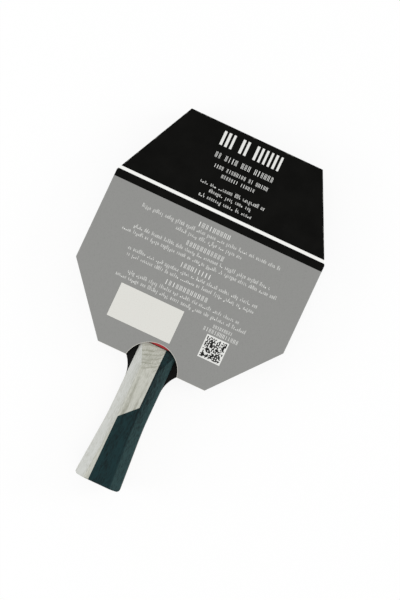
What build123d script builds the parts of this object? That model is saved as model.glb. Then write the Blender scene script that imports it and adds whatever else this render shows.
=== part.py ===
from build123d import *

import os
from math import atan2, cos, radians, sin, sqrt

# Table tennis bat, held in an eight-sided card sleeve that leaves its handle out.
#
# Frame: +X across the bat, +Y along it from the handle to the tip, +Z up. The bat lies flat
# with its red side up. The origin is at the middle of the overall length, under the handle.
# All sizes are in millimetres.

# ---- blade ---------------------------------------------------------------------------------
blade_width = 150.0
head_length = 157.0  # top of the handle to the tip
shoulder_start = 8.0  # degrees below the widest point at which the shoulders take over
shoulder_radius = 120.0  # outward curve from the head down to the wings
wing_radius = 22.0  # hollow curve that carries each wing into the handle's side
neck_lap = 1.0  # the head's outline runs on this far along the handle
core_ply = 3.4
inner_ply = 0.6
outer_ply = 0.6

# ---- rubber and tape -----------------------------------------------------------------------
sponge_thickness = 2.0
topsheet_thickness = 1.7
rubber_gap = 0.3  # top of the handle to the rubber's straight lower edge
tape_width = 9.0
tape_thickness = 0.4
glue_line = 0.05  # adhesive between the tape and the rim

# ---- handle --------------------------------------------------------------------------------
handle_length = 103.0
handle_thickness = 22.8
waist_width = 27.0
flare_width = 34.0
flare_corner = 47.0  # height above the butt at which the sides turn outwards
flare_radius = 267.0  # how gently they turn
flank_width = 8.0  # slanted flank on each side of the grip's flat
flank_drop = 6.0  # height that the flank loses from the flat to the side
scale_wall = 1.8  # least upright side left under a flank
crest_round = 6.0  # between the flat and a flank
side_round = 2.5  # between a flank and the side
ramp_length = 18.0  # slope that leads the thumb down to the rubber
ramp_tip = 2.7  # height of the slope's thin end above the blade
ramp_blend = 30.0  # radius between the slope and the flat of the grip
tip_round = 0.8
butt_corner = 2.4
butt_round = 1.2

# Two-colour seam, seen from above with the tip upwards: it runs down at one offset, crosses
# the grip at a slant and runs on down to the butt at the other.
seam_upper_offset = 5.0
seam_lower_offset = -6.2
seam_slant_top = 43.5  # top of the handle to the start of the slant
seam_slant_length = 11.4
cut_margin = 1.0  # the seam's cutting block runs this far past the grip's ends
pick_slack = 0.01  # how near an edge has to lie to the height that it is picked by

# ---- sleeve --------------------------------------------------------------------------------
card = 0.45
fold_limit = 0.9  # most of the card's thickness that a fold may round
fold_radius = 0.4  # outside of a creased fold
slip = 0.35  # bat to card, above, below and at the tip
side_gap = 2.95  # taped rim to each side wall
bevel_gap = 2.25  # taped rim to each upper bevel wall
bevel_normal = 26.0  # degrees from +X to the upper bevel's outward normal
side_length = 66.4  # straight side between the two bevels
sleeve_overlap = 14.1  # top of the handle to the sleeve's lower edge
bottom_width = 80.9
notch_gap = 1.85  # top of the handle to the crown of the notch
notch_clearance = 6.1  # handle's side to the notch's widest
tab_width = 9.0
corner_gap = 0.5  # folded walls stop this short of each corner
label_width = 47.6
label_height = 24.5
label_thickness = 0.1
label_offset = 18.9  # middle of the bat to the middle of the label
label_rise = 18.9  # lower edge of the sleeve to the label's lower edge

# ---- stations along the bat ----------------------------------------------------------------
overall_length = handle_length + head_length + glue_line + tape_thickness + slip + card
butt_y = -overall_length / 2
handle_top_y = butt_y + handle_length
tip_y = handle_top_y + head_length
rubber_y = handle_top_y + rubber_gap
flare_y = butt_y + flare_corner
sleeve_top_y = overall_length / 2
sleeve_bottom_y = handle_top_y - sleeve_overlap

# ---- levels --------------------------------------------------------------------------------
middle_z = handle_thickness / 2
blade_thickness = core_ply + 2 * (inner_ply + outer_ply)
blade_face = blade_thickness / 2  # this and the next are measured from the middle
rubber_face = blade_face + sponge_thickness + topsheet_thickness
scale_height = handle_thickness / 2 - blade_face
flank_fall = min(flank_drop, scale_height - scale_wall)
flank_foot_z = handle_thickness - flank_fall
back_inner_z = middle_z + rubber_face + slip
tab_top_z = middle_z - rubber_face - slip
front_inner_z = tab_top_z - card

# ---- head outline: crown, shoulder and wing arcs that meet tangent ---------------------------
head_radius = blade_width / 2
head_y = tip_y - head_radius
rim = head_radius + glue_line + tape_thickness
crown_end = radians(shoulder_start)
shoulder_x = (head_radius - shoulder_radius) * cos(crown_end)
shoulder_y = head_y - (head_radius - shoulder_radius) * sin(crown_end)
wing_x = waist_width / 2 + wing_radius
wing_y = shoulder_y - sqrt((shoulder_radius + wing_radius) ** 2 - (wing_x - shoulder_x) ** 2)
shoulder_end = atan2(shoulder_y - wing_y, wing_x - shoulder_x)
neck_y = min(wing_y, handle_top_y) - neck_lap


def head_face(grow=0.0):
    """Sketch of the blade's head, wings and the start of its neck, grown outwards."""
    crown_radius = head_radius + grow
    outer_radius = shoulder_radius + grow
    crown_foot = (crown_radius * cos(crown_end), head_y - crown_radius * sin(crown_end))
    shoulder_foot = (
        shoulder_x + outer_radius * cos(shoulder_end),
        shoulder_y - outer_radius * sin(shoulder_end),
    )
    wing_foot = (waist_width / 2 + grow, wing_y)
    with BuildSketch() as head:
        with BuildLine():
            crown = TangentArc((0, tip_y + grow), crown_foot, tangent=(1, 0))
            shoulder = TangentArc(crown @ 1, shoulder_foot, tangent=crown % 1)
            TangentArc(shoulder @ 1, wing_foot, tangent=shoulder % 1)
            Polyline(wing_foot, (wing_foot[0], neck_y), (0, neck_y))
            mirror(about=Plane.YZ)
        make_face()
    return head.sketch


def rubber_outline(grow=0.0):
    """Sketch of the head above the rubber's straight lower edge."""
    with BuildSketch() as outline:
        add(head_face(grow))
        with Locations((0, rubber_y)):
            Rectangle(
                2 * blade_width, 2 * head_length,
                align=(Align.CENTER, Align.MIN), mode=Mode.INTERSECT,
            )
    return outline.sketch


def handle_plan(corner=0.0):
    """Sketch of the grip seen from above, with its butt corners rounded."""
    with BuildSketch() as plan:
        with BuildLine():
            side = FilletPolyline(
                (waist_width / 2, handle_top_y),
                (waist_width / 2, flare_y),
                (flare_width / 2, butt_y),
                radius=flare_radius,
            )
            Line(side @ 1, (0, butt_y))
            Line(side @ 0, (0, handle_top_y))
            mirror(about=Plane.YZ)
        make_face()
        if corner:
            fillet(plan.vertices().group_by(Axis.Y)[0].filter_by(lambda v: v.X != 0), corner)
    return plan.sketch


os.makedirs("parts", exist_ok=True)

# ---- blade: five plies, all cut to one outline -------------------------------------------------
ply_stack = [
    ("black_side_outer_ply", outer_ply),
    ("black_side_inner_ply", inner_ply),
    ("core_ply", core_ply),
    ("red_side_inner_ply", inner_ply),
    ("red_side_outer_ply", outer_ply),
]
ply_z = middle_z - blade_face
for name, thickness in ply_stack:
    with BuildPart() as ply:
        with BuildSketch(Plane.XY.offset(ply_z)):
            add(head_face())
            add(handle_plan(butt_corner))
        extrude(amount=thickness)
    ply.part.label = name
    export_step(ply.part, f"parts/{name}.step")
    ply_z += thickness

# ---- rubbers: a sponge against the blade and a topsheet over it --------------------------------
rubber_sheets = [
    ("red_sponge", middle_z + blade_face, sponge_thickness),
    ("red_topsheet", middle_z + blade_face + sponge_thickness, topsheet_thickness),
    ("black_sponge", middle_z - blade_face, -sponge_thickness),
    ("black_topsheet", middle_z - blade_face - sponge_thickness, -topsheet_thickness),
]
for name, start_z, thickness in rubber_sheets:
    with BuildPart() as sheet:
        with BuildSketch(Plane.XY.offset(start_z)):
            add(rubber_outline())
        extrude(amount=thickness)
    sheet.part.label = name
    export_step(sheet.part, f"parts/{name}.step")

# ---- edge tape: a band round the rim, from one end of the rubber's lower edge to the other ------
with BuildPart() as edge_tape:
    with BuildSketch(Plane.XY.offset(middle_z - tape_width / 2)):
        add(rubber_outline(glue_line + tape_thickness))
        add(rubber_outline(glue_line), mode=Mode.SUBTRACT)
    extrude(amount=tape_width)
edge_tape.part.label = "edge_tape"
export_step(edge_tape.part, "parts/edge_tape.step")

# ---- grip: one half, with slanted flanks, a sloped top end and an eased butt --------------------
with BuildPart() as scale:
    with BuildSketch(Plane.XY.offset(middle_z + blade_face)):
        add(handle_plan())
    extrude(amount=scale_height)
    flat = scale.faces().sort_by(Axis.Z)[-1]
    chamfer(flat.edges().filter_by(Axis.X, reverse=True), flank_width, flank_fall, reference=flat)
    flat = scale.faces().sort_by(Axis.Z)[-1]
    fillet(flat.edges().filter_by(Axis.X, reverse=True), crest_round)
    feet = scale.edges().filter_by_position(Axis.Z, flank_foot_z - pick_slack, flank_foot_z + pick_slack)
    fillet(feet, min(side_round, scale_height - flank_fall))
    with BuildSketch(Plane.YZ):
        with BuildLine():
            profile = FilletPolyline(
                (handle_top_y, middle_z + blade_face),
                (handle_top_y, middle_z + blade_face + ramp_tip),
                (handle_top_y - ramp_length, handle_thickness),
                (butt_y, handle_thickness),
                (butt_y, middle_z + blade_face),
                radius=[tip_round, ramp_blend, butt_round],
            )
            Line(profile @ 1, profile @ 0)
        make_face()
    extrude(amount=flare_width, both=True, mode=Mode.INTERSECT)
    with BuildSketch():
        add(handle_plan(butt_corner))
    extrude(amount=handle_thickness, mode=Mode.INTERSECT)

# The pale half of the seam, as a block that reaches past the grip on every side.
with BuildPart() as pale_region:
    with BuildSketch():
        with BuildLine():
            Polyline(
                (-flare_width, handle_top_y + cut_margin),
                (seam_upper_offset, handle_top_y + cut_margin),
                (seam_upper_offset, handle_top_y - seam_slant_top),
                (seam_lower_offset, handle_top_y - seam_slant_top - seam_slant_length),
                (seam_lower_offset, butt_y - cut_margin),
                (-flare_width, butt_y - cut_margin),
                close=True,
            )
        make_face()
    extrude(amount=handle_thickness)

# Both sides of the grip are the same pair of pieces, turned over about the bat's long axis.
turnover = Axis((0, 0, middle_z), (0, 1, 0))
for tone, mode in [("pale", Mode.INTERSECT), ("teal", Mode.SUBTRACT)]:
    with BuildPart() as half_scale:
        add(scale.part)
        add(pale_region.part, mode=mode)
    half_scale.part.label = f"red_side_{tone}_scale"
    export_step(half_scale.part, f"parts/red_side_{tone}_scale.step")
    with BuildPart() as turned_scale:
        add(half_scale.part.rotate(turnover, 180))
    turned_scale.part.label = f"black_side_{tone}_scale"
    export_step(turned_scale.part, f"parts/black_side_{tone}_scale.step")

# ---- sleeve outline, measured from the taped rim ------------------------------------------------
half_width = rim + side_gap + card
bevel_reach = rim + bevel_gap + card
normal = Vector(1, 0).rotate(Axis.Z, bevel_normal)
upper_corner_y = head_y + (bevel_reach - half_width * normal.X) / normal.Y
top_corner_x = (bevel_reach - (sleeve_top_y - head_y) * normal.Y) / normal.X
lower_corner_y = upper_corner_y - side_length
right_corners = [
    (top_corner_x, sleeve_top_y),
    (half_width, upper_corner_y),
    (half_width, lower_corner_y),
    (bottom_width / 2, sleeve_bottom_y),
]
left_corners = [(-x, y) for x, y in reversed(right_corners)]
notch_radius = waist_width / 2 + notch_clearance
notch_y = handle_top_y + notch_gap - notch_radius


def panel_face():
    """Sketch of a sleeve panel: eight sides, and a notch for the handle in the lowest."""
    with BuildSketch() as panel:
        with BuildLine():
            Polyline(*right_corners, *left_corners, close=True)
        make_face()
        with Locations((0, notch_y)):
            Circle(notch_radius, mode=Mode.SUBTRACT)
    return panel.sketch


# The five edges that are walled in, as (start, end) running anticlockwise.
closed_run = [right_corners[2], right_corners[1], right_corners[0]]
closed_run += [(-x, y) for x, y in reversed(closed_run)]
walled_edges = [(Vector(*a), Vector(*b)) for a, b in zip(closed_run, closed_run[1:])]

# ---- back card: printed panel, five walls folded down and a glue tab turned in from each --------
with BuildPart() as sleeve_back_card:
    with BuildSketch(Plane.XY.offset(back_inner_z)):
        add(panel_face())
    extrude(amount=card)
    for start, end in walled_edges:
        along = (end - start).normalized()
        inward = along.rotate(Axis.Z, 90)
        first = start + along * corner_gap
        last = end - along * corner_gap
        with BuildSketch(Plane.XY.offset(front_inner_z)):
            with BuildLine():
                Polyline(first, last, last + inward * card, first + inward * card, close=True)
            make_face()
        extrude(amount=back_inner_z - front_inner_z)
        tab_first = first + (along + inward) * tab_width
        tab_last = last + (inward - along) * tab_width
        with BuildSketch(Plane.XY.offset(front_inner_z)):
            with BuildLine():
                Polyline(first, last, tab_last, tab_first, close=True)
            make_face()
        extrude(amount=card)
    printed_face = sleeve_back_card.faces().sort_by(Axis.Z)[-1]
    folds = [
        printed_face.edges().sort_by_distance((start + end) / 2 + Vector(0, 0, back_inner_z + card))[0]
        for start, end in walled_edges
    ]
    fillet(folds, min(fold_radius, fold_limit * card))
sleeve_back_card.part.label = "sleeve_back_card"
export_step(sleeve_back_card.part, "parts/sleeve_back_card.step")

# ---- front card: the plain panel glued over the tabs --------------------------------------------
with BuildPart() as sleeve_front_card:
    with BuildSketch(Plane.XY.offset(front_inner_z)):
        add(panel_face())
    extrude(amount=-card)
sleeve_front_card.part.label = "sleeve_front_card"
export_step(sleeve_front_card.part, "parts/sleeve_front_card.step")

# ---- blank label stuck to the back card ---------------------------------------------------------
with BuildPart() as blank_label:
    with BuildSketch(Plane.XY.offset(back_inner_z + card)):
        with Locations((-label_offset, sleeve_bottom_y + label_rise)):
            Rectangle(label_width, label_height, align=(Align.CENTER, Align.MIN))
    extrude(amount=label_thickness)
blank_label.part.label = "blank_label"
export_step(blank_label.part, "parts/blank_label.step")
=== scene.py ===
import math

import bmesh
import bpy
from mathutils import Matrix, Vector


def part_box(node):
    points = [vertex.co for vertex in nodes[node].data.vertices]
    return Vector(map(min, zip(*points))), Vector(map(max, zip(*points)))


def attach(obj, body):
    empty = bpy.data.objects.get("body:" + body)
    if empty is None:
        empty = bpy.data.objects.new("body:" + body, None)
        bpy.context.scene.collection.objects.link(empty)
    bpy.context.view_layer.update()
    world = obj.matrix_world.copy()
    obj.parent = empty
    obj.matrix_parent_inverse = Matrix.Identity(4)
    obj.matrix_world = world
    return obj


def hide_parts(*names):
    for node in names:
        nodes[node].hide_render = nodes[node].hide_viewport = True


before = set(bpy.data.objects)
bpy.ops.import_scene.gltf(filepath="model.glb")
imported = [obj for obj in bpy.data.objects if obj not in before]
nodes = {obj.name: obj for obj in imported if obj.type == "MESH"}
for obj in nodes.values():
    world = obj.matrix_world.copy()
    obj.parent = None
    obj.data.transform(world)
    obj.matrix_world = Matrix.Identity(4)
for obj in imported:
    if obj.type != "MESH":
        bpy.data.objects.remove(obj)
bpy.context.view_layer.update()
mm = 0.001
print("frame loaded:", len(nodes), "nodes")


# Node graphs: sums on wires become Math nodes

class Wire:                                  # an output socket that takes part in Python sums
    def __init__(self, graph, socket):
        self.graph = graph
        self.socket = socket

    def out(self, name):                     # another output of the same node
        return Wire(self.graph, self.socket.node.outputs[name])

    def __add__(self, other):
        return self.graph.math("ADD", self, other)

    def __sub__(self, other):
        return self.graph.math("SUBTRACT", self, other)

    def __rsub__(self, other):
        return self.graph.math("SUBTRACT", other, self)

    def __mul__(self, other):
        return self.graph.math("MULTIPLY", self, other)

    def __truediv__(self, other):
        return self.graph.math("DIVIDE", self, other)

    def __gt__(self, other):
        return self.graph.math("GREATER_THAN", self, other)

    def __lt__(self, other):
        return self.graph.math("LESS_THAN", self, other)

    def __abs__(self):
        return self.graph.math("ABSOLUTE", self)

    __radd__ = __add__
    __rmul__ = __mul__

    def fade(self, start, end):              # 0 at start, 1 at end, smooth between
        return self.graph.node("ShaderNodeMapRange", {"interpolation_type": "SMOOTHSTEP"},
                               {"Value": self, "From Min": start, "From Max": end})


class Graph:
    def __init__(self, tree):
        self.tree = tree
        tree.nodes.clear()

    def node(self, kind, settings=None, inputs=None, output=0):
        made = self.tree.nodes.new(kind)
        for name, value in (settings or {}).items():
            if name == "stops":
                self.setStops(made.color_ramp, value)
            else:
                setattr(made, name, value)
        for name, value in (inputs or {}).items():
            if isinstance(value, Wire):
                self.tree.links.new(value.socket, made.inputs[name])
            else:
                made.inputs[name].default_value = value
        return Wire(self, made.outputs[output]) if len(made.outputs) else None

    def setStops(self, ramp, stops):         # stops are (place, grey level)
        for place, grey in stops[2:]:
            ramp.elements.new(place)
        for element, (place, grey) in zip(ramp.elements, stops):
            element.position = place
            element.color = (grey, grey, grey, 1)

    def math(self, operation, *terms):
        return self.node("ShaderNodeMath", {"operation": operation}, dict(enumerate(terms)))

    def vector(self, operation, *terms):
        return self.node("ShaderNodeVectorMath", {"operation": operation}, dict(enumerate(terms)))

    def joined(self, x, y, z):
        return self.node("ShaderNodeCombineXYZ", None, {0: x, 1: y, 2: z})

    def split(self, vector):
        x = self.node("ShaderNodeSeparateXYZ", None, {0: vector})
        return x, x.out(1), x.out(2)

    def blend(self, factor, first, second):  # colours: first at 0, second at 1
        return self.node("ShaderNodeMix", {"data_type": "RGBA"}, {0: factor, 6: first, 7: second}, 2)


class Finish(Graph):                         # a material whose patterns are measured in millimetres
    def __init__(self, name):
        self.material = bpy.data.materials.new(name)
        self.material.use_nodes = True
        super().__init__(self.material.node_tree)
        place = self.node("ShaderNodeTexCoord", None, None, "Object")
        self.place = self.vector("MULTIPLY", place, (1 / mm, 1 / mm, 1 / mm))
        self.x, self.y, self.z = self.split(self.place)

    def normal(self):                        # the face's own direction
        return self.split(self.node("ShaderNodeNewGeometry", None, None, "True Normal"))

    def noise(self, spots, detail=2.0, rough=0.5, shift=0.0):
        # spots: features per millimetre along X, Y and Z
        where = self.vector("MULTIPLY", self.place, spots)
        where = self.vector("ADD", where, (shift, shift, shift))
        return self.node("ShaderNodeTexNoise", None, {
            "Vector": where, "Scale": 1.0, "Detail": detail, "Roughness": rough})

    def done(self, colour, roughness, height, **constants):
        # height is the relief in millimetres; constants go straight on the shader's sockets
        bump = self.node("ShaderNodeBump", None, {
            "Strength": 1.0, "Distance": mm, "Height": height})
        shader = self.node("ShaderNodeBsdfPrincipled", None, {
            "Base Color": colour, "Roughness": roughness, "Normal": bump})
        for name, value in constants.items():
            shader.socket.node.inputs[name.replace("_", " ")].default_value = value
        self.node("ShaderNodeOutputMaterial", None, {"Surface": shader})
        return self.material


def shown(red, green, blue):                 # a colour as a screen shows it, made linear
    parts = [level / 255 for level in (red, green, blue)]
    return (*[p / 12.92 if p <= 0.04045 else ((p + 0.055) / 1.055) ** 2.4 for p in parts], 1.0)


def paint(names, material):
    for name in names:
        slots = nodes[name].data.materials
        slots.clear()
        slots.append(material)


# Wood

# pitch to wander set a wood's growth layers, in millimetres, ring to end say how strongly each
# pattern shows, and streaks are dark bands along the grain
# side is painted light on steep faces: lighter on the teal, cooler on the pale wood, a shade darker on
# the plies
woods = {
    "paleScale": {
        "early": shown(196, 196, 187), "side": shown(193, 194, 190), "late": shown(150, 150, 137),
        "pore": shown(136, 135, 124), "pitch": 0.92, "lean": 0.13, "rise": 0.008, "wander": 0.8,
        "ring": 0.62, "pores": 0.3, "fibre": 0.7, "fleck": 1.5, "end": 0.75,
        "rough": 0.5, "sheen": 0.2, "across": False,
        "streaks": [{"middle": -4.4, "width": 1.3, "from": -88.0, "to": -44.0,
                     "ease": 12.0, "depth": 0.2},
                    {"middle": -7.4, "width": 3.2, "from": -128.0, "to": -40.0,
                     "ease": 58.0, "depth": 0.28}]},
    "tealScale": {
        "early": shown(18, 46, 49), "side": shown(38, 63, 64), "late": shown(6, 20, 22),
        "pore": shown(6, 12, 14), "pitch": 0.95, "lean": -0.15, "rise": 0.01, "wander": 1.0,
        "ring": 0.55, "pores": 0.6, "fibre": 1.0, "fleck": 2.8, "end": 0.7,
        "rough": 0.4, "sheen": 0.15, "across": False,
        # this band darkens the flat top beside the seam, toward the card
        "streaks": [{"middle": 6.0, "width": 5.5, "from": -104.0, "to": -34.0,
                     "ease": 34.0, "depth": 0.45}]},
    "stainedPly": {
        "early": shown(15, 15, 15), "side": shown(14, 14, 14), "late": shown(7, 7, 7),
        "pore": shown(3, 3, 3), "pitch": 1.1, "lean": 0.24, "rise": 0.01, "wander": 1.2,
        "ring": 0.7, "pores": 0.6, "fibre": 0.6, "fleck": 0.6, "end": 0.4,
        "rough": 0.5, "sheen": 0.1, "across": False, "streaks": []},
    "corePly": {
        "early": shown(214, 183, 138), "side": shown(208, 176, 130), "late": shown(176, 136, 88),
        "pore": shown(140, 101, 62), "pitch": 1.8, "lean": 0.3, "rise": 0.015, "wander": 1.4,
        "ring": 0.6, "pores": 0.5, "fibre": 0.6, "fleck": 0.6, "end": 0.5,
        "rough": 0.62, "sheen": 0.3, "across": False, "streaks": []},
    "crossPly": {
        "early": shown(196, 160, 114), "side": shown(190, 152, 106), "late": shown(160, 120, 76),
        "pore": shown(112, 80, 48), "pitch": 1.2, "lean": 0.3, "rise": 0.02, "wander": 1.2,
        "ring": 0.6, "pores": 0.7, "fibre": 0.6, "fleck": 0.6, "end": 0.5,
        "rough": 0.66, "sheen": 0.3, "across": True, "streaks": []},
}
# each pattern: features per millimetre across and along the grain, detail, roughness, shift
grainPatterns = {
    "drift": (0.055, 0.011, 2.0, 0.5, 0.0), "tremble": (0.5, 0.03, 2.0, 0.5, 7.0),
    "tone": (0.22, 0.012, 2.0, 0.5, 19.0), "figure": (0.5, 0.13, 3.0, 0.65, 83.0),
    "fleck": (1.6, 0.34, 2.0, 0.6, 71.0), "pore": (3.6, 0.16, 2.0, 0.5, 3.0),
    "fibre": (7.0, 0.10, 3.0, 0.5, 11.0),
}
# one growth layer, from its pale early wood to its dark late wood
ringStops = [(0.0, 0.1), (0.14, 0.0), (0.6, 0.12), (0.84, 1.0), (0.92, 0.85), (1.0, 0.1)]
grain = {                                    # what all the woods share; a pair is a start and an end
    "drift": 4,                                     # how far layers move, times the wood's wander
    "tremble": 0.35, "uneven": 1.5,                 # and in millimetres
    "flat": (0.82, 0.92), "endTurn": (0.1, 0.6),    # by how far a face looks up, and along the grain
    "steepRing": 0.25, "weakRing": 0.4,             # a ring's least share on a steep side, and anywhere
    "poreSpan": (0.60, 0.70), "toneSpan": (0.35, 0.72), "ringSpan": (0.3, 0.65),
    "tone": 0.2, "figure": 0.9,                     # how strongly they darken
    "streakCore": 0.3, "streakEnd": 8.0,            # a streak's darkest share, and its fade at the blade
    "poreRough": 0.2, "fibreRough": 0.12,
    "fibreRelief": 0.012, "poreRelief": 0.02, "ringRelief": 0.006,      # in millimetres
}


def makeWood(name):
    look = woods[name]
    wood = Finish(name)
    along, side = (wood.x, wood.y) if look["across"] else (wood.y, wood.x)

    def pattern(kind):                       # noise drawn out along the grain, from 0 to 1
        fine, long, detail, rough, shift = grainPatterns[kind]
        spots = (long, fine, fine) if look["across"] else (fine, long, fine)
        return wood.noise(spots, detail, rough, shift)

    # growth layers lie nearly flat in the board: long streaks on a flat face, contours on a slope
    layer = wood.z + side * look["lean"] + along * look["rise"]
    uneven = wood.noise((0.03, 0.03, 0.55), 1.0, shift=51.0) - 0.5
    layer = layer + (pattern("drift") - 0.5) * look["wander"] * grain["drift"]
    layer = layer + (pattern("tremble") - 0.5) * grain["tremble"] + uneven * grain["uneven"]
    turn = wood.math("FRACT", layer / look["pitch"])
    ring = wood.node("ShaderNodeValToRGB", {"stops": ringStops}, {0: turn})
    ring = wood.node("ShaderNodeRGBToBW", None, {0: ring})
    # a steep side cuts the layers short, so they show less there
    weak, steep = grain["weakRing"], grain["steepRing"]
    facing = wood.normal()
    flat = abs(facing[2]).fade(*grain["flat"])
    strong = wood.noise((0.03, 0.03, 1.1), 1.0, shift=61.0).fade(*grain["ringSpan"])
    ring = ring * (strong * (1 - weak) + weak) * (flat * (1 - steep) + steep)
    # faces turned along the grain, such as the butt and the sloping ramp, are made darker
    grainFacing = abs(facing[0] if look["across"] else facing[1]).fade(*grain["endTurn"])
    # pores are short dashes along the grain, and broad tone moves across the board
    pore = pattern("pore").fade(*grain["poreSpan"])
    tone = pattern("tone").fade(*grain["toneSpan"])
    fibre = pattern("fibre")
    shade = ring * look["ring"] + tone * grain["tone"] + (fibre - 0.5) * look["fibre"]
    shade = shade + grainFacing * look["end"]
    shade = shade + (pattern("figure") - 0.5) * look["fibre"] * grain["figure"]
    shade = shade + (pattern("fleck") - 0.5) * look["fleck"]
    for band in look["streaks"]:
        inside = abs(side - band["middle"]).fade(band["width"], band["width"] * grain["streakCore"])
        length = along.fade(band["from"], band["from"] + band["ease"])
        length = length * along.fade(band["to"], band["to"] - grain["streakEnd"])
        shade = shade + inside * length * (tone * 0.5 + 0.75) * band["depth"]
    # steep faces take the side colour: painted light for how the flanks catch the lamps
    colour = wood.blend(flat, look["side"], look["early"])
    colour = wood.blend(shade, colour, look["late"])
    colour = wood.blend(pore * look["pores"], colour, look["pore"])
    roughness = look["rough"] + pore * grain["poreRough"] + (fibre - 0.5) * grain["fibreRough"]
    relief = fibre * grain["fibreRelief"] - pore * grain["poreRelief"] - ring * grain["ringRelief"]
    return wood.done(colour, roughness, relief, Specular_IOR_Level=look["sheen"])


paint(["red_side_pale_scale", "black_side_pale_scale"], makeWood("paleScale"))
paint(["red_side_teal_scale", "black_side_teal_scale"], makeWood("tealScale"))
paint(["red_side_outer_ply", "black_side_outer_ply"], makeWood("stainedPly"))
paint(["red_side_inner_ply", "black_side_inner_ply"], makeWood("crossPly"))
paint(["core_ply"], makeWood("corePly"))
print("wood painted")


# Sleeve card

card = {                                     # lengths in millimetres
    "black": shown(10, 10, 9), "grey": shown(147, 147, 145), "white": shown(246, 246, 243),
    "core": shown(226, 223, 214), "inside": shown(196, 190, 178),
    "bandTop": 56.1, "bandFoot": 58.35, "stripFoot": 64.2,     # down from the sleeve's top edge
    "inkWander": 0.06,                      # how unevenly the ink ends
    "bevelTurn": 26.0, "bevelReach": 78.15, "bevelMiddle": 54.4,    # the two upper bevel folds
    "lowerCorner": 6.2,                     # below this the panel's sides are cut, not folded
    "thickness": 0.45, "notchMiddle": -45.35, "notchRadius": 19.6,
    # at the notch the pale strip is bare board and also a painted highlight on the cut edge
    "foldWear": (0.8, 0.2, 0.5),            # distances from an edge, where wear starts and is full,
    "notchWearAndHighlight": (0.34, 0.16, 0.75),        # and how much of the bare board shows there
    "footWear": (0.22, 0.1, 0.75),
    "insideTone": 0.3, "insideFibre": 0.9,  # how pale the inside is, and how its fibres vary that
    "paleTone": 0.003, "mottleTone": 0.006, "speckTone": 0.012,     # board seen through the print
    "fibreShade": 0.5, "speckShade": 0.2,   # how strongly they darken it
    "rough": 0.78, "printGloss": 0.26,      # bare board, and how much smoother print is
    "speckRough": 0.1, "sheen": 0.02,
    "speckRelief": 0.003, "fibreRelief": 0.004, "mottleRelief": 0.02, "creaseRelief": 0.03,
}
sleeveLow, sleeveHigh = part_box("sleeve_back_card")
cardTop = sleeveHigh.y / mm                 # from here on, card places are in millimetres
cardFace = sleeveHigh.z / mm
cardBack = sleeveLow.z / mm
cardFoot = sleeveLow.y / mm
cardHalf = sleeveHigh.x / mm


def makeCard(name, faceUp):
    paper = Finish(name)
    x, y, z = paper.x, paper.y, paper.z
    across, along, up = paper.normal()
    ink = paper.noise((0.9, 0.9, 0.9), 2.0, shift=5.0) - 0.5
    below = cardTop - y + ink * card["inkWander"]
    isBlack = (below < card["bandTop"]) + (below > card["bandFoot"]) * (below < card["stripFoot"])
    isWhite = (below > card["bandTop"]) * (below < card["bandFoot"])
    printed = paper.blend(isBlack, card["grey"], card["black"])
    printed = paper.blend(isWhite, printed, card["white"])

    # outside and inside of the folded blank, told by where a face is and which way it looks
    wall = abs(up) < 0.7
    if faceUp:
        outward = (across * x + along * (y - card["bevelMiddle"])) > 0
        folded = outward * wall * (y > card["lowerCorner"])
        front = (up > 0.5) * (z > cardFace - card["thickness"] / 2)
        outside = paper.math("MAXIMUM", front, folded)
    else:
        outside = up < -0.5
    cut = (abs(up) < 0.5) * (1 - outside)

    # how near a face is to a fold, on the panel and on the walls
    turn = math.radians(card["bevelTurn"])
    reach = abs(x) * math.cos(turn) + (y - card["bevelMiddle"]) * math.sin(turn)
    toFold = paper.math("MINIMUM", cardTop - y, cardHalf - abs(x))
    toFold = paper.math("MINIMUM", toFold, card["bevelReach"] - reach)
    toEdge = paper.math("MINIMUM", cardFace - z, z - cardBack)
    toFold = toFold * (1 - wall) + toEdge * wall

    # pale scuffs along the creases, and the bare edge where the card is cut, also a painted highlight at
    # the notch
    foldStart, foldFull, foldShow = card["foldWear"]
    notchStart, notchFull, notchShow = card["notchWearAndHighlight"]
    footStart, footFull, footShow = card["footWear"]
    scuff = paper.noise((0.35, 0.35, 2.0), 4.0, 0.7, shift=41.0).fade(0.52, 0.72)
    creased = toFold.fade(foldStart, foldFull) * scuff * (y > card["lowerCorner"])
    notchY = y - card["notchMiddle"]
    fromNotch = abs(paper.math("SQRT", x * x + notchY * notchY) - card["notchRadius"])
    trimmed = paper.math("MAXIMUM", fromNotch.fade(notchStart, notchFull) * notchShow,
                         (y - cardFoot).fade(footStart, footFull) * footShow)
    worn = paper.math("MAXIMUM", creased * foldShow, trimmed)

    # fibres and specks of the board
    fibre = paper.noise((1.6, 0.7, 1.2), 4.0, 0.6)
    speck = paper.noise((9.0, 9.0, 9.0), 2.0, shift=13.0)
    mottle = paper.noise((0.09, 0.09, 0.09), 2.0, shift=29.0)
    pale = (fibre - 0.5) * card["insideFibre"] + card["insideTone"]
    plain = paper.blend(pale, card["inside"], card["core"])
    plain = paper.blend(cut, plain, card["core"])
    skin = paper.blend(worn, printed, card["core"])
    thin = (mottle - 0.5) * card["mottleTone"] + (speck - 0.5) * card["speckTone"] + card["paleTone"]
    skin = paper.blend(thin, skin, card["core"])
    dark = abs(fibre - 0.5) * card["fibreShade"] + abs(speck - 0.5) * card["speckShade"]
    skin = paper.blend(dark, skin, card["black"])
    colour = paper.blend(outside, plain, skin)
    roughness = card["rough"] - outside * card["printGloss"] + (speck - 0.5) * card["speckRough"]
    relief = speck * card["speckRelief"] + fibre * card["fibreRelief"]
    relief = relief + mottle * card["mottleRelief"] - creased * card["creaseRelief"]
    return paper.done(colour, roughness, relief, Specular_IOR_Level=card["sheen"])


paint(["sleeve_back_card"], makeCard("backCard", True))
paint(["sleeve_front_card"], makeCard("frontCard", False))
print("sleeve painted")


# Label paper and inks

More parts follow.
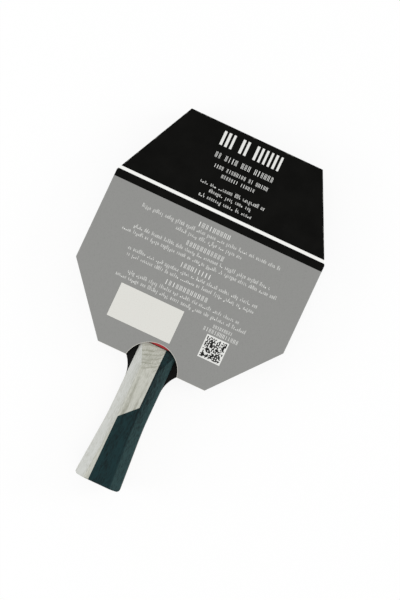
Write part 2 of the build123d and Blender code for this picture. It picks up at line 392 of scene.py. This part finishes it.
papers = {
    "labelPaper": {"tone": shown(226, 225, 220), "fibre": shown(212, 211, 205), "rough": 0.6},
    "paleInk": {"tone": shown(236, 236, 233), "fibre": shown(216, 216, 213), "rough": 0.7},
    "darkInk": {"tone": shown(14, 14, 13), "fibre": shown(24, 24, 23), "rough": 0.7},
}
pulp = {                                     # what all the papers share; relief is in millimetres
    "fibre": 0.5, "speck": 0.3, "speckRough": 0.1, "sheen": 0.25,
    "fibreRelief": 0.006, "speckRelief": 0.005,
}


def makePaper(name):
    look = papers[name]
    paper = Finish(name)
    fibre = paper.noise((2.2, 0.8, 1.0), 4.0, 0.6, shift=2.0)
    speck = paper.noise((8.0, 8.0, 8.0), 2.0, shift=17.0)
    shade = fibre * pulp["fibre"] + speck * pulp["speck"]
    colour = paper.blend(shade, look["tone"], look["fibre"])
    roughness = look["rough"] + (speck - 0.5) * pulp["speckRough"]
    relief = speck * pulp["speckRelief"] + fibre * pulp["fibreRelief"]
    return paper.done(colour, roughness, relief, Specular_IOR_Level=pulp["sheen"])


paleInk = makePaper("paleInk")
darkInk = makePaper("darkInk")
paint(["blank_label"], makePaper("labelPaper"))
print("label painted")


# Rubber, sponge and tape

rubbers = {
    "red": {"tone": shown(178, 23, 32), "deep": shown(150, 16, 25), "rough": 0.36},
    "black": {"tone": shown(24, 24, 25), "deep": shown(14, 14, 15), "rough": 0.34},
}
sheetSkin = {                                # what both rubbers share; relief is in millimetres
    "cloud": 0.6, "speck": 0.4, "cloudRough": 0.1, "speckRough": 0.12, "sheen": 0.45,
    "speckRelief": 0.006, "pressed": 0.0012,        # and how far each wave of pips shows through
}
pips = {                                     # lengths in millimetres; they stand in the band at the rim
    "pitch": 2.1, "radius": 0.82, "height": 0.8, "sides": 12, "band": 7.5, "margin": 1.0,
    "columns": 75, "lines": 46,             # enough for the widest head
}
sponge = {                                   # cells per millimetre; relief is in millimetres
    # deep is painted shade: the colour the cells are darkened to toward their floors
    "tone": shown(236, 178, 84), "deep": shown(176, 116, 40),
    "cells": 3.4, "cellSpan": (0.42, 0.1),  # a cell's edge and floor, out from its middle
    "hollow": 0.7, "fine": 0.3, "rough": 0.85, "sheen": 0.2,
    "hollowRelief": 0.07, "fineRelief": 0.02,
}
tape = {                                     # the ribs' pitch and relief are in millimetres
    "tone": shown(20, 20, 21), "pale": shown(38, 38, 40),
    # the ribs are painted with light and shade: paler crests, darker grooves
    "pitch": 0.62, "shadedRib": 0.18, "weave": 0.6, "rough": 0.56, "weaveRough": 0.2, "sheen": 0.4,
    "ribRelief": 0.022, "weaveRelief": 0.012,
}


def makeRubber(side):
    look = rubbers[side]
    rubber = Finish(side + "Rubber")
    cloud = rubber.noise((0.05, 0.05, 0.05), 3.0)
    speck = rubber.noise((5.0, 5.0, 5.0), 3.0, shift=23.0)
    # the pips press faintly through the sheet: three waves set 60 degrees apart
    step = 4 * math.pi / (math.sqrt(3) * pips["pitch"])
    waves = 0.0
    for angle in (0, 60, 120):
        slope = math.radians(angle)
        phase = (rubber.y * math.cos(slope) + rubber.x * math.sin(slope)) * step
        waves = rubber.math("COSINE", phase) + waves
    shade = cloud * sheetSkin["cloud"] + (speck - 0.5) * sheetSkin["speck"]
    colour = rubber.blend(shade, look["tone"], look["deep"])
    roughness = look["rough"] + cloud * sheetSkin["cloudRough"]
    roughness = roughness + (speck - 0.5) * sheetSkin["speckRough"]
    relief = waves * sheetSkin["pressed"] + speck * sheetSkin["speckRelief"]
    return rubber.done(colour, roughness, relief, Specular_IOR_Level=sheetSkin["sheen"])


def makeSponge():
    foam = Finish("sponge")
    cell = foam.node("ShaderNodeTexVoronoi", None, {
        "Vector": foam.place, "Scale": sponge["cells"], "Randomness": 1.0}, "Distance")
    # the cells are painted darker toward their floors: painted shade in the hollows, beside their dent
    hollow = cell.fade(*sponge["cellSpan"])
    fine = foam.noise((6.0, 6.0, 6.0), 2.0)
    shade = hollow * sponge["hollow"] + (fine - 0.5) * sponge["fine"]
    colour = foam.blend(shade, sponge["tone"], sponge["deep"])
    relief = fine * sponge["fineRelief"] - hollow * sponge["hollowRelief"]
    return foam.done(colour, sponge["rough"], relief, Specular_IOR_Level=sponge["sheen"])


def makeTape():
    cloth = Finish("edgeTape")
    shadedRib = cloth.math("SINE", cloth.z * (2 * math.pi / tape["pitch"]))
    weave = cloth.noise((3.5, 3.5, 9.0), 2.0)
    # the ribs' crests are painted paler and their grooves darker: painted highlight and painted shade
    # that follow their relief
    shade = shadedRib * tape["shadedRib"] + weave * tape["weave"]
    colour = cloth.blend(shade, tape["tone"], tape["pale"])
    roughness = tape["rough"] + (weave - 0.5) * tape["weaveRough"]
    relief = shadedRib * tape["ribRelief"] + weave * tape["weaveRelief"]
    return cloth.done(colour, roughness, relief, Specular_IOR_Level=tape["sheen"])


paint(["red_sponge", "black_sponge"], makeSponge())
paint(["edge_tape"], makeTape())
print("rubber, sponge and tape painted")


# Meshes, and geometry trees that grow them

def metres(*place):                         # a place given in millimetres
    return Vector([part * mm for part in place])


def addObject(name, data):
    made = bpy.data.objects.new(name, data)
    bpy.context.scene.collection.objects.link(made)
    return made


def plate(name, low, high):                 # a closed box mesh between two corners
    mesh = bpy.data.meshes.new(name)
    shape = bmesh.new()
    bmesh.ops.create_cube(shape, size=1.0)
    size = Vector(high) - Vector(low)
    bmesh.ops.scale(shape, vec=size, verts=shape.verts)
    bmesh.ops.translate(shape, vec=(Vector(low) + Vector(high)) / 2, verts=shape.verts)
    shape.to_mesh(mesh)
    shape.free()
    return mesh


class Growth(Graph):                         # a geometry tree with named inputs
    def __init__(self, name, inputs):
        tree = bpy.data.node_groups.new(name, "GeometryNodeTree")
        super().__init__(tree)
        tree.interface.new_socket("Geometry", in_out="INPUT", socket_type="NodeSocketGeometry")
        for label, kind in inputs.items():
            tree.interface.new_socket(label, in_out="INPUT", socket_type="NodeSocket" + kind)
        tree.interface.new_socket("Geometry", in_out="OUTPUT", socket_type="NodeSocketGeometry")
        entry = self.tree.nodes.new("NodeGroupInput")
        self.given = {socket.name: Wire(self, socket) for socket in entry.outputs if socket.name}

    def chance(self, low, high, by, seed):
        return self.node("FunctionNodeRandomValue", {"data_type": "FLOAT"},
                         {2: low, 3: high, 7: by, 8: seed}, 1)

    def join(self, parts):                   # the node counts from the last part linked
        made = self.node("GeometryNodeJoinGeometry")
        for part in parts:
            self.tree.links.new(part.socket, made.socket.node.inputs[0])
        return made

    def thin(self, points, away):            # drops the points where away is 1
        return self.node("GeometryNodeDeleteGeometry", {"domain": "POINT"}, {0: points, 1: away})

    def close(self, geometry):               # plain geometry out, with its material
        real = self.node("GeometryNodeRealizeInstances", None, {0: geometry})
        made = self.node("GeometryNodeSetMaterial", None, {0: real, 2: self.given["Finish"]})
        self.node("NodeGroupOutput", None, {0: made})
        return self.tree


def grow(name, source, tree, values):        # runs a tree on a mesh and keeps a plain mesh
    piece = addObject(name, source)
    modifier = piece.modifiers.new("growth", "NODES")
    modifier.node_group = tree
    for socket in tree.interface.items_tree:
        if socket.in_out == "INPUT" and socket.name in values:
            modifier[socket.identifier] = values[socket.name]
    evaluated = piece.evaluated_get(bpy.context.evaluated_depsgraph_get())
    plain = bpy.data.meshes.new_from_object(evaluated)
    piece.modifiers.remove(modifier)
    piece.data = plain
    print(name, "grown:", len(plain.polygons), "faces")
    return piece


# Print on the back card: rows of plain bars in place of words

marks = {                                    # lengths in millimetres
    "relief": 0.03,                         # how far the ink stands above the card
    "word": 6, "gapWithin": 4.0,            # marks to a word, and where among them its gap may fall
    "seed": 12,
    "widths": (0.55, 0.82), "narrow": 0.1,  # shares of a step, and how much less for plain blocks
    "small": 0.62, "reach": 0.3,            # height of small marks, and what some reach beyond it
    "reachFrom": 0.6, "downFrom": 0.88,     # draws above these reach, and reach down
    # each row: below the sleeve's top edge, middle, half width, height, step; then whether it has
    # capitals, plain blocks, and gaps between words
    "titleRows": [(9.3, 0, 21.4, 10.2, 3.5, 1, 1, 1), (21.4, 0, 21.0, 3.9, 2.4, 1, 0, 1),
                  (28.7, 0, 20.5, 2.7, 1.85, 1, 0, 1), (33.6, 0, 12.7, 2.5, 1.75, 1, 0, 1),
                  (42.2, 0, 24.4, 3.1, 1.5, 0, 0, 1), (46.4, 0, 16.0, 2.9, 1.5, 0, 0, 1),
                  (51.2, 0, 20.0, 3.1, 1.5, 0, 0, 1)],
    "noteRows": [(129.5, 34.2, 6.6, 2.5, 1.6, 1, 0, 0), (133.2, 34.5, 12.3, 2.9, 1.95, 1, 0, 0)],
    "blockTop": 69.8, "blockPitch": 15.2,
    "blockHalves": [(11.0, 51.8, 24.4), (13.2, 51.0, 58.0), (10.5, 48.4, 47.6), (15.0, 42.9, 48.6)],
    # each line of a block: below the block's top, height, step, capitals, plain blocks, gaps
    "blockLines": [(0, 3.5, 2.6, 1, 0, 0), (4.9, 3.1, 1.32, 0, 0, 1), (9.25, 3.1, 1.32, 0, 0, 1)],
}
# a row's last five values, and their units
rowFields = {"tall": mm, "step": mm, "caps": 1, "plain": 1, "gaps": 1}
# each mark is one to three bars in a square cell: middle across, middle up, width and height
strokes = [
    [(0, 0, 0.8, 1)],                       # the plain block
    [(0, 0, 0.3, 1)],                       # tall marks, for the rows of capitals too
    [(-0.3, 0, 0.23, 1), (0.3, 0, 0.23, 1)],
    [(-0.38, 0, 0.15, 1), (0, 0, 0.15, 1), (0.38, 0, 0.15, 1)],
    [(-0.28, -0.14, 0.25, 0.72), (0.28, 0, 0.25, 1)],    # uneven and low marks, small rows only
    [(-0.28, 0, 0.25, 1), (0.28, -0.14, 0.25, 0.72)],
    [(-0.28, -0.14, 0.25, 0.72), (0.28, -0.14, 0.25, 0.72)],
    [(0, -0.33, 0.84, 0.3)],
    [(-0.3, 0.14, 0.25, 0.72), (0.22, -0.3, 0.36, 0.36)],
]
tallMarks = 4                               # how many of them, from the first, are full height


def listRows():
    rows = marks["titleRows"] + marks["noteRows"]
    for count, halves in enumerate(marks["blockHalves"]):
        top = marks["blockTop"] + marks["blockPitch"] * count
        for half, (below, *rest) in zip(halves, marks["blockLines"]):
            rows.append((top + below, 0, half, *rest))
    return rows


def rowMesh():                              # one edge per row, carrying the row's own sizes
    rows = listRows()
    mesh = bpy.data.meshes.new("rows")
    points = []
    for below, middle, half, *_ in rows:
        points += [metres(middle + end * half, cardTop - below, cardFace) for end in (-1, 1)]
    mesh.from_pydata(points, [(2 * i, 2 * i + 1) for i in range(len(rows))], [])
    for column, (name, unit) in enumerate(rowFields.items(), 3):
        values = mesh.attributes.new(name, "FLOAT", "POINT").data
        for i, row in enumerate(rows):
            values[2 * i].value = values[2 * i + 1].value = row[column] * unit
    return mesh


def rowTree():
    tree = Growth("printRows", {"Word": "Float", "Relief": "Float", "Seed": "Int", "Finish": "Material"})
    given, seed = tree.given, tree.given["Seed"]
    tall, step, caps, plain, gaps = [
        tree.node("GeometryNodeInputNamedAttribute", {"data_type": "FLOAT"}, {"Name": name})
        for name in rowFields]
    index = tree.node("GeometryNodeInputIndex")
    line = tree.node("GeometryNodeMeshToCurve", None, {0: given["Geometry"]})
    line = tree.node("GeometryNodeResampleCurve", {"mode": "LENGTH"}, {"Curve": line, "Length": step})
    dots = tree.node("GeometryNodeCurveToPoints", {"mode": "EVALUATED"}, {0: line})
    word = tree.math("FLOOR", index / given["Word"])
    gapAt = tree.math("FLOOR", tree.chance(0.0, marks["gapWithin"], word, seed))
    gap = abs(index - word * given["Word"] - gapAt) < 0.5
    dots = tree.thin(dots, gap * gaps)
    # small marks are low, and some reach up or down
    kind = tree.chance(0.0, 1.0, index, seed + 1)
    reaching = (kind > marks["reachFrom"]) * (1 - caps)
    down = kind > marks["downFrom"]
    height = tall * (caps + (1 - caps) * marks["small"] + reaching * marks["reach"])
    lift = tall * reaching * (0.5 - down) * marks["reach"]
    width = step * tree.chance(*marks["widths"], index, seed + 2) * (1 - plain * marks["narrow"])
    dots = tree.node("GeometryNodeSetPosition", None, {0: dots, "Offset": tree.joined(0.0, lift, 0.0)})
    cells = []
    for bars in strokes:
        mark = []
        for x, y, wide, high in bars:
            bar = tree.node("GeometryNodeMeshCube", None, {0: (wide, high, 1)})
            mark.append(tree.node("GeometryNodeTransform", None, {0: bar, "Translation": (x, y, 0)}))
        cells.append(tree.node("GeometryNodeGeometryToInstance", None, {0: tree.join(mark)}))
    # the pick is rounded down, so it stops just short of a whole number
    last = (len(strokes) - tallMarks) * (1 - caps) + (tallMarks - 0.01)
    pick = tree.math("FLOOR", tree.chance(1.0, last, index, seed + 3)) * (1 - plain)
    return tree.close(tree.node("GeometryNodeInstanceOnPoints", None, {
        "Points": dots, "Instance": tree.join(cells[::-1]), "Pick Instance": True,
        "Instance Index": pick, "Scale": tree.joined(width, height, given["Relief"])}))


backPrint = grow("back_print", rowMesh(), rowTree(), {
    "Word": float(marks["word"]), "Relief": marks["relief"] * mm, "Seed": marks["seed"],
    "Finish": paleInk})
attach(backPrint, "sleeve")


# Code block: a pale square with scattered dark cells, in no readable order

code = {                                     # lengths in millimetres
    "middle": (34.05, -13.7), "side": 16.7, "border": 1.0, "relief": 0.03, "sunk": 0.02,
    "cells": 19, "filled": 0.57, "cellShare": 0.99, "seed": 5,
}


def codeTree():
    tree = Growth("codeCells", {"Side": "Float", "Cells": "Int", "Filled": "Float", "Relief": "Float",
                                "Seed": "Int", "Finish": "Material"})
    given = tree.given
    cell = given["Side"] / given["Cells"]
    span = given["Side"] - cell
    grid = tree.node("GeometryNodeMeshGrid", None, {
        "Size X": span, "Size Y": span, "Vertices X": given["Cells"], "Vertices Y": given["Cells"]})
    index = tree.node("GeometryNodeInputIndex")
    grid = tree.thin(grid, tree.chance(0.0, 1.0, index, given["Seed"]) > given["Filled"])
    block = tree.node("GeometryNodeMeshCube", None, {0: (1, 1, 1)})
    across = cell * code["cellShare"]
    return tree.close(tree.node("GeometryNodeInstanceOnPoints", None, {
        "Points": grid, "Instance": block, "Scale": tree.joined(across, across, given["Relief"])}))


codeX, codeY = code["middle"]
half = code["side"] / 2
codeTop = cardFace + code["relief"]
codePlate = addObject("code_plate", plate(
    "code_plate", metres(codeX - half, codeY - half, cardFace - code["sunk"]),
    metres(codeX + half, codeY + half, codeTop)))
codePlate.data.materials.append(paleInk)
codeCells = grow("code_cells", plate("seedBox", (0, 0, 0), (mm, mm, mm)), codeTree(), {
    "Side": (code["side"] - 2 * code["border"]) * mm, "Cells": code["cells"], "Filled": code["filled"],
    "Relief": 2 * code["relief"] * mm, "Seed": code["seed"], "Finish": darkInk})
codeCells.data.transform(Matrix.Translation(metres(codeX, codeY, codeTop)))
for piece in (codePlate, codeCells):
    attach(piece, "sleeve")


# Topsheets: the sheet itself, and the pips that show at its edge

sheetEdge = {                                # lengths in millimetres, turns in degrees
    "merge": 0.001,                         # points this near become one
    "levelSlack": 0.1, "rimSlack": 0.01,    # heights this near count as level
    "flatTurn": 0.5, "rimTurn": 60.0,       # a smaller turn is flat, and a larger one is a rim
    "round": 0.12, "steps": 2,              # radius of the rim's bevel, and its segments
}


def innerLevel(side, up):                   # the height of a topsheet's pip side
    low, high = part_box(side + "_topsheet")
    return low.z if up > 0 else high.z


def makeSheet(side, up):                    # a copy of the solid, thinned on its pip side
    mesh = nodes[side + "_topsheet"].data.copy()
    mesh.name = side + "_sheet"
    shape = bmesh.new()
    shape.from_mesh(mesh)
    bmesh.ops.remove_doubles(shape, verts=shape.verts, dist=sheetEdge["merge"] * mm)
    inner = innerLevel(side, up)
    for vertex in shape.verts:
        if abs(vertex.co.z - inner) < sheetEdge["levelSlack"] * mm:
            vertex.co.z += up * pips["height"] * mm
    bmesh.ops.dissolve_limit(shape, angle_limit=math.radians(sheetEdge["flatTurn"]),
                             verts=shape.verts, edges=shape.edges)
    rim = [edge for edge in shape.edges if len(edge.link_faces) == 2
           and edge.calc_face_angle() > math.radians(sheetEdge["rimTurn"])
           and abs(edge.verts[0].co.z - edge.verts[1].co.z) < sheetEdge["rimSlack"] * mm]
    bmesh.ops.bevel(shape, geom=rim, offset=sheetEdge["round"] * mm, segments=sheetEdge["steps"],
                    profile=0.5, affect="EDGES")
    shape.to_mesh(mesh)
    shape.free()
    mesh.materials.clear()
    mesh.materials.append(makeRubber(side))
    return addObject(side + "_sheet", mesh)


def pipTree():
    tree = Growth("pips", {"Pitch": "Float", "Radius": "Float", "Height": "Float", "Band": "Float",
                           "Margin": "Float", "Level": "Float", "Middle": "Float", "Finish": "Material"})
    given = tree.given
    pitch, rowStep = given["Pitch"], given["Pitch"] * math.sqrt(3)
    columns, lines = pips["columns"], pips["lines"]
    above = 0.05                            # metres over the field, where the rays start
    fields = []
    for offset in (0.0, 0.5):               # two plain fields, one set between the other
        grid = tree.node("GeometryNodeMeshGrid", None, {
            "Size X": pitch * (columns - 1), "Size Y": rowStep * (lines - 1),
            "Vertices X": columns, "Vertices Y": lines})
        move = tree.joined(pitch * offset, rowStep * offset + given["Middle"], given["Level"])
        fields.append(tree.node("GeometryNodeTransform", None, {0: grid, "Translation": move}))
    # the sheet's own side walls say how near a pip is to the edge, and its faces say what is inside
    up = tree.split(tree.node("GeometryNodeInputNormal"))[2]
    walls = tree.node("GeometryNodeSeparateGeometry", {"domain": "FACE"}, {
        0: given["Geometry"], 1: abs(up) < 0.5})
    near = tree.node("GeometryNodeProximity", {"target_element": "FACES"}, {0: walls}, "Distance")
    start = tree.vector("ADD", tree.node("GeometryNodeInputPosition"), (0.0, 0.0, above))
    hit = tree.node("GeometryNodeRaycast", None, {
        0: given["Geometry"], "Source Position": start, "Ray Direction": (0.0, 0.0, -1.0),
        "Ray Length": 2 * above}, "Is Hit")
    keep = hit * (near > given["Margin"]) * (near < given["Band"])
    dots = tree.thin(tree.join(fields), 1 - keep)
    pip = tree.node("GeometryNodeMeshCylinder", {"fill_type": "NGON"}, {
        "Vertices": pips["sides"], "Radius": given["Radius"], "Depth": given["Height"]})
    return tree.close(tree.node("GeometryNodeInstanceOnPoints", None, {"Points": dots, "Instance": pip}))


allPips = pipTree()
pipSizes = {label: pips[label.lower()] * mm
            for label in ("Pitch", "Radius", "Height", "Band", "Margin")}
for side, up in (("red", 1), ("black", -1)):
    sheet = makeSheet(side, up)
    low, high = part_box(side + "_topsheet")
    field = grow(side + "_pips", sheet.data, allPips, {
        **pipSizes, "Level": innerLevel(side, up) + up * pips["height"] * mm / 2,
        "Middle": (low.y + high.y) / 2, "Finish": sheet.data.materials[0]})
    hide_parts(side + "_topsheet")
    for piece in (sheet, field):
        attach(piece, "bat")


# Floor, lamps, world and camera

view = {
    "turn": 25.1,                           # the head's end leans this far to the right, degrees
    "aim": (11.23, 13.5),                   # the point at the middle of the view, millimetres
    "height": 1000.0, "framed": 412.8,      # of the camera, and of what it frames at the card
    "sensor": 36.0,
}
lamps = [                                    # placed from the aim along the view, in metres and watts
    {"name": "leftBox", "side": -1.0, "up": -0.05, "height": 0.36, "size": 0.5, "power": 4.6},
    {"name": "rightBox", "side": 1.25, "up": 0.1, "height": 0.4, "size": 0.5, "power": 7.0},
]
studio = {
    "lampColour": (0.97, 0.985, 1.0), "worldLight": 0.78,
    "floorLow": (-3, -3, -0.02), "floorHigh": (3, 3, -0.0001),      # corners, in metres
    "floorTone": 0.96, "floorGlow": 0.88,   # and its share that shows as the white backdrop
}


def pageAxes():                             # the view's right and up, in the object's frame
    turn = math.radians(view["turn"])
    return Vector((math.cos(turn), math.sin(turn), 0)), Vector((-math.sin(turn), math.cos(turn), 0))


def makeFloor():
    tone = studio["floorTone"]
    floor = addObject("floor", plate("floor", studio["floorLow"], studio["floorHigh"]))
    material = bpy.data.materials.new("floor")
    material.use_nodes = True
    graph = Graph(material.node_tree)
    rays = graph.node("ShaderNodeLightPath")
    seen = graph.math("MAXIMUM", rays.out("Is Camera Ray"), rays.out("Is Glossy Ray"))
    dull = graph.node("ShaderNodeBsdfDiffuse", None, {"Color": (tone, tone, tone, 1)})
    bright = graph.node("ShaderNodeEmission", None, {"Color": (1, 1, 1, 1), "Strength": 1.0})
    both = graph.node("ShaderNodeMixShader", None, {0: seen * studio["floorGlow"], 1: dull, 2: bright})
    graph.node("ShaderNodeOutputMaterial", None, {0: both})
    floor.data.materials.append(material)


def makeLamps():
    right, up = pageAxes()
    aim = metres(*view["aim"], 0)
    for lamp in lamps:
        light = bpy.data.lights.new(lamp["name"], "AREA")
        light.shape = "SQUARE"
        light.size = lamp["size"]
        light.energy = lamp["power"]
        light.color = studio["lampColour"]
        place = aim + right * lamp["side"] + up * lamp["up"] + Vector((0, 0, lamp["height"]))
        body = addObject(lamp["name"], light)
        body.location = place
        body.rotation_euler = (aim - place).to_track_quat("-Z", "Y").to_euler()


def makeWorld():
    world = bpy.data.worlds.new("studio")
    world.use_nodes = True
    graph = Graph(world.node_tree)
    seen = graph.node("ShaderNodeLightPath").out("Is Camera Ray")
    strength = seen + (1 - seen) * studio["worldLight"]
    backdrop = graph.node("ShaderNodeBackground", None, {"Color": (1, 1, 0.99, 1), "Strength": strength})
    graph.node("ShaderNodeOutputWorld", None, {0: backdrop})
    bpy.context.scene.world = world


def makeCamera():
    lens = bpy.data.cameras.new("camera")
    lens.sensor_width = view["sensor"]
    lens.lens = view["sensor"] * (view["height"] - cardFace) / view["framed"]
    lens.clip_start = 0.01
    camera = addObject("camera", lens)
    camera.location = metres(*view["aim"], view["height"])
    camera.rotation_euler = (0, 0, math.radians(view["turn"]))
    bpy.context.scene.camera = camera


makeFloor()
makeLamps()
makeWorld()
makeCamera()
bpy.context.scene.view_settings.view_transform = "Standard"
print("studio ready")
